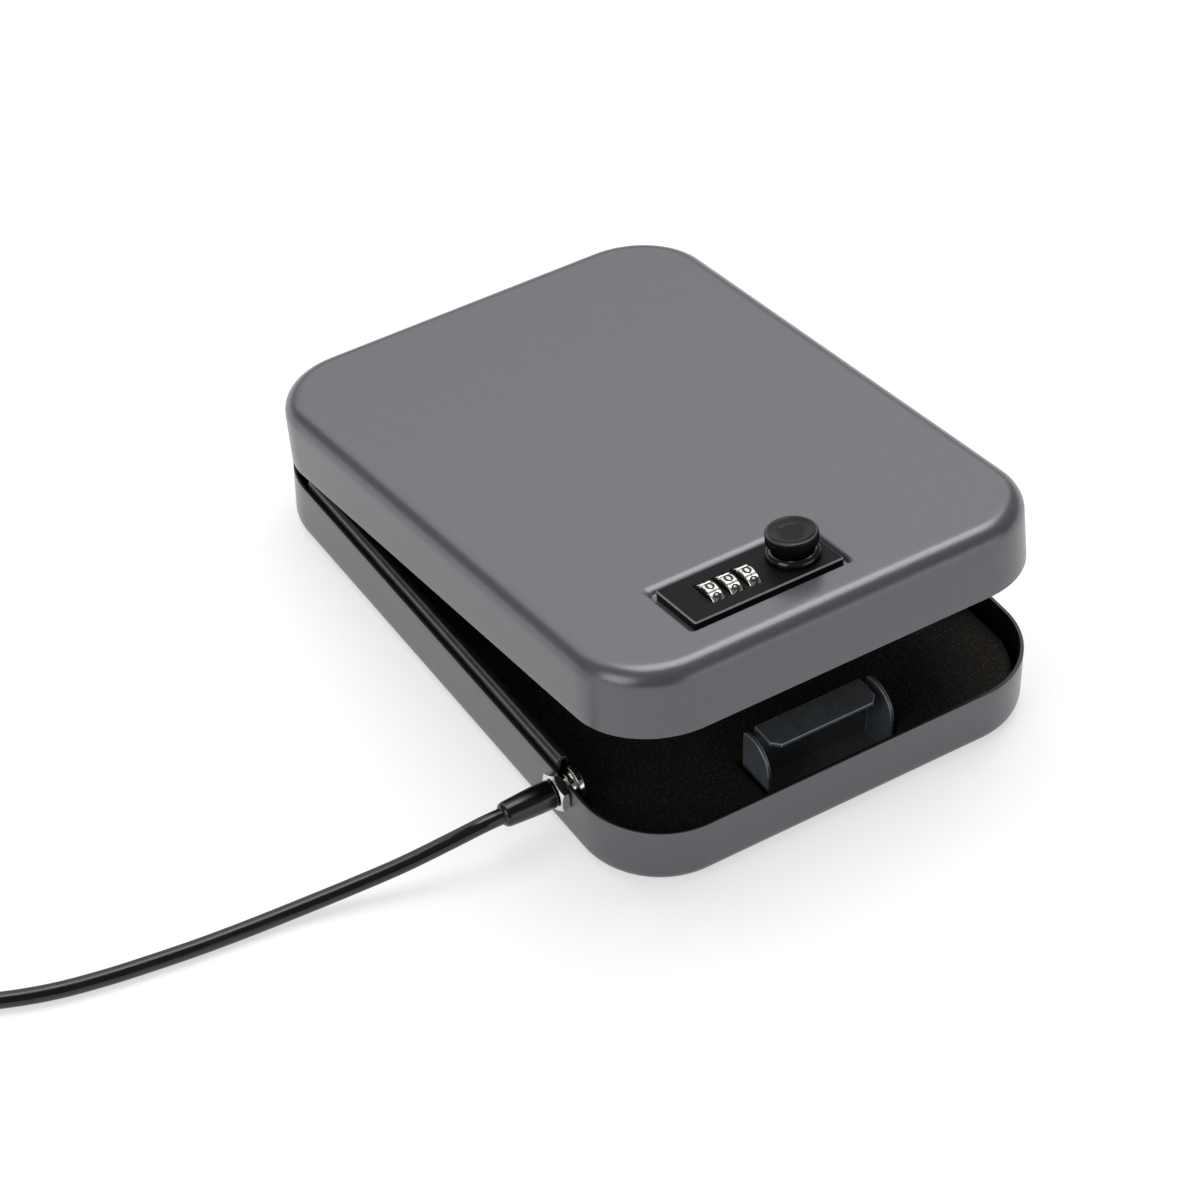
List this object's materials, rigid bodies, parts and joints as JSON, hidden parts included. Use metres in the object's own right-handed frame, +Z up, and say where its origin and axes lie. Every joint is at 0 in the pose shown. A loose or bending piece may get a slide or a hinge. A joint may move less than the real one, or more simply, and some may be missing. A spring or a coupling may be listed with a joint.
{
  "type": "portable car safe",
  "caption": "Low drawn-steel case with a hinged lid, a combination lock let into the lid, foam lining and a coiled security cable held in the tray's side.",
  "frame": {"origin": "centre of the tray's flat underside, on the surface that the safe rests on", "axes": "+Y from the lock at the front to the hinge at the back, +X to the right of someone facing the front, +Z up"},
  "size_m": [0.4473, 0.2599, 0.1004],
  "materials": {
    "grey_powder_coat": "satin, finely textured powder coat",
    "black_rail_paint": "gloss black paint",
    "dark_plated_steel": "dark satin plating with bright sheared edges",
    "bare_steel": "plain zinc-plated steel",
    "liner_foam": "open-cell foam, matt black",
    "black_lock_casting": "semi-gloss black on a zinc casting",
    "black_moulding": "matt moulded plastic",
    "bright_nickel": "bright nickel plate",
    "sleeve_brass": "machined brass",
    "cable_vinyl": "gloss black vinyl over wire rope"
  },
  "bodies": {
    "case": {"tray_shell": "grey_powder_coat", "side_rail_left": "black_rail_paint", "side_rail_right": "black_rail_paint", "latch_strike": "dark_plated_steel", "tray_foam": "liner_foam", "hinge_leaf_tray": "bare_steel", "hinge_pin": "bare_steel", "cable_stud": "bright_nickel", "cable_nut": "bright_nickel", "cable_boot": "cable_vinyl", "cable_lead": "cable_vinyl", "cable_coil": "cable_vinyl", "cable_tail": "cable_vinyl", "cable_ferrule": "bare_steel", "cable_eye": "cable_vinyl"},
    "lid": {"lid_shell": "grey_powder_coat", "hinge_leaf_lid": "bare_steel", "lid_foam": "liner_foam", "lock_housing": "black_lock_casting", "wheel_shaft": "bare_steel", "fence_bar": "bare_steel", "comb_spring": "bare_steel", "knob_bezel": "black_lock_casting", "lock_rear_cover": "black_moulding", "cover_screw_1": "bare_steel", "cover_screw_2": "bare_steel", "cover_screw_3": "bare_steel", "cover_screw_4": "bare_steel"},
    "number_wheel_1": {"number_wheel_1": "bright_nickel", "clutch_sleeve_1": "sleeve_brass"},
    "number_wheel_2": {"number_wheel_2": "bright_nickel", "clutch_sleeve_2": "sleeve_brass"},
    "number_wheel_3": {"number_wheel_3": "bright_nickel", "clutch_sleeve_3": "sleeve_brass"},
    "knob": {"knob": "black_lock_casting", "knob_spindle": "bare_steel", "latch_crank": "bare_steel", "crank_roll_pin": "bare_steel"},
    "latch": {"latch_hook": "bare_steel"},
    "code_lever": {"code_change_lever": "bare_steel"}
  },
  "joints": [
    {"name": "lid_hinge", "type": "hinge", "parent": "case", "child": "lid", "pos_m": [0, 0.1301, 0.0245], "axis": [-1, 0, 0], "range_deg": [-9.4, 158.6]},
    {"name": "knob_turn", "type": "hinge", "parent": "lid", "child": "knob", "pos_m": [-0.0006, -0.08897, 0.09168], "axis": [0, 0.1633, 0.9866], "range_deg": [0, 60]},
    {"name": "latch_slide", "type": "slide", "parent": "lid", "child": "latch", "axis": [0, 0.9866, -0.1633], "range_m": [0, 0.0055]},
    {"name": "wheel_1_turn", "type": "hinge", "parent": "lid", "child": "number_wheel_1", "pos_m": [-0.0344, -0.09028, 0.08379], "axis": [1, 0, 0], "continuous": true},
    {"name": "wheel_2_turn", "type": "hinge", "parent": "lid", "child": "number_wheel_2", "pos_m": [-0.027, -0.09028, 0.08379], "axis": [1, 0, 0], "continuous": true},
    {"name": "wheel_3_turn", "type": "hinge", "parent": "lid", "child": "number_wheel_3", "pos_m": [-0.0196, -0.09028, 0.08379], "axis": [1, 0, 0], "continuous": true},
    {"name": "code_lever_slide", "type": "slide", "parent": "lid", "child": "code_lever", "axis": [1, 0, 0], "range_m": [0, 0.004]}
  ],
  "couplings": [
    {"joint": "knob_turn", "follows": "latch_slide", "rad_per_m": 190.4}
  ]
}
